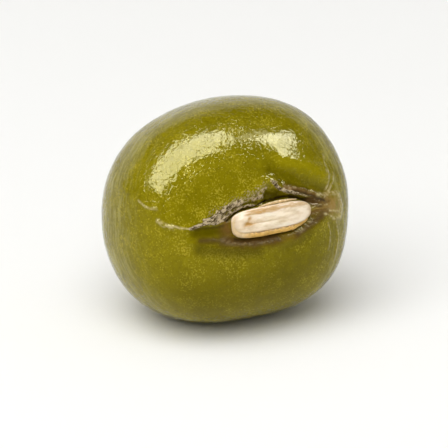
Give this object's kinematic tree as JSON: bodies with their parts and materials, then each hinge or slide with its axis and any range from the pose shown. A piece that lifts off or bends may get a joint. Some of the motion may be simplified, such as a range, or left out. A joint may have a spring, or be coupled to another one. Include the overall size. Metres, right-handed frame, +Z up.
{
  "type": "mung bean",
  "caption": "Plump dried seed of a legume, a rounded barrel with a pale raised scar on one side, lying on a small flat spot.",
  "frame": {"origin": "under the middle of the bean's box, on the surface that it rests on", "axes": "+X along the bean's length, towards the end with the lens; +Z up; the scar faces -Y and a little upwards"},
  "size_m": [0.0046, 0.004, 0.0042],
  "materials": {
    "seed_coat": "waxy seed coat, semi-gloss, finely wrinkled",
    "scar_tissue": "matt corky tissue",
    "scar_rim": "dull dry skin"
  },
  "bodies": {
    "root": {"mung_bean": "seed_coat"}
  },
  "joints": []
}
